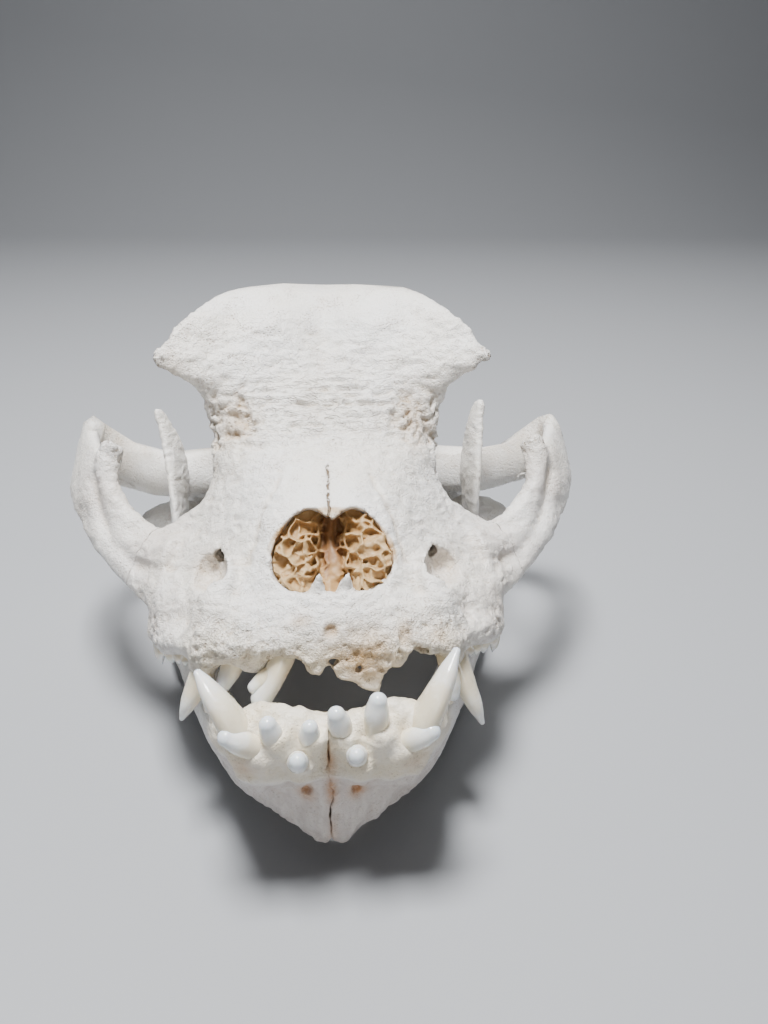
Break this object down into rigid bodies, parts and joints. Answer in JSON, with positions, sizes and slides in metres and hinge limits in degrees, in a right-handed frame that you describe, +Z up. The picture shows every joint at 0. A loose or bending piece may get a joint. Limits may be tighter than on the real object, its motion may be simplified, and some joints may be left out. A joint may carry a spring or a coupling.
{
  "type": "dog skull",
  "caption": "Life-size short-faced dog skull with broad forehead, wide cheek arches, scrolled nasal cavity, worn teeth and a separate lower jaw jutting forward.",
  "frame": {"origin": "middle of the bounding box on the floor, under the resting skull", "axes": "+Z up, +X to the animal's left, +Y from the muzzle towards the back of the head"},
  "size_m": [0.1408, 0.171, 0.0995],
  "materials": {
    "cranium_bone": "matte",
    "cheek_bone": "matte",
    "jaw_bone": "matte",
    "turbinate_bone": "matte"
  },
  "bodies": {
    "root": {"cranium": "cranium_bone", "zygomatic_left": "cheek_bone", "zygomatic_right": "cheek_bone", "mandible_left": "jaw_bone", "mandible_right": "jaw_bone", "nasal_turbinates": "turbinate_bone"}
  },
  "joints": []
}
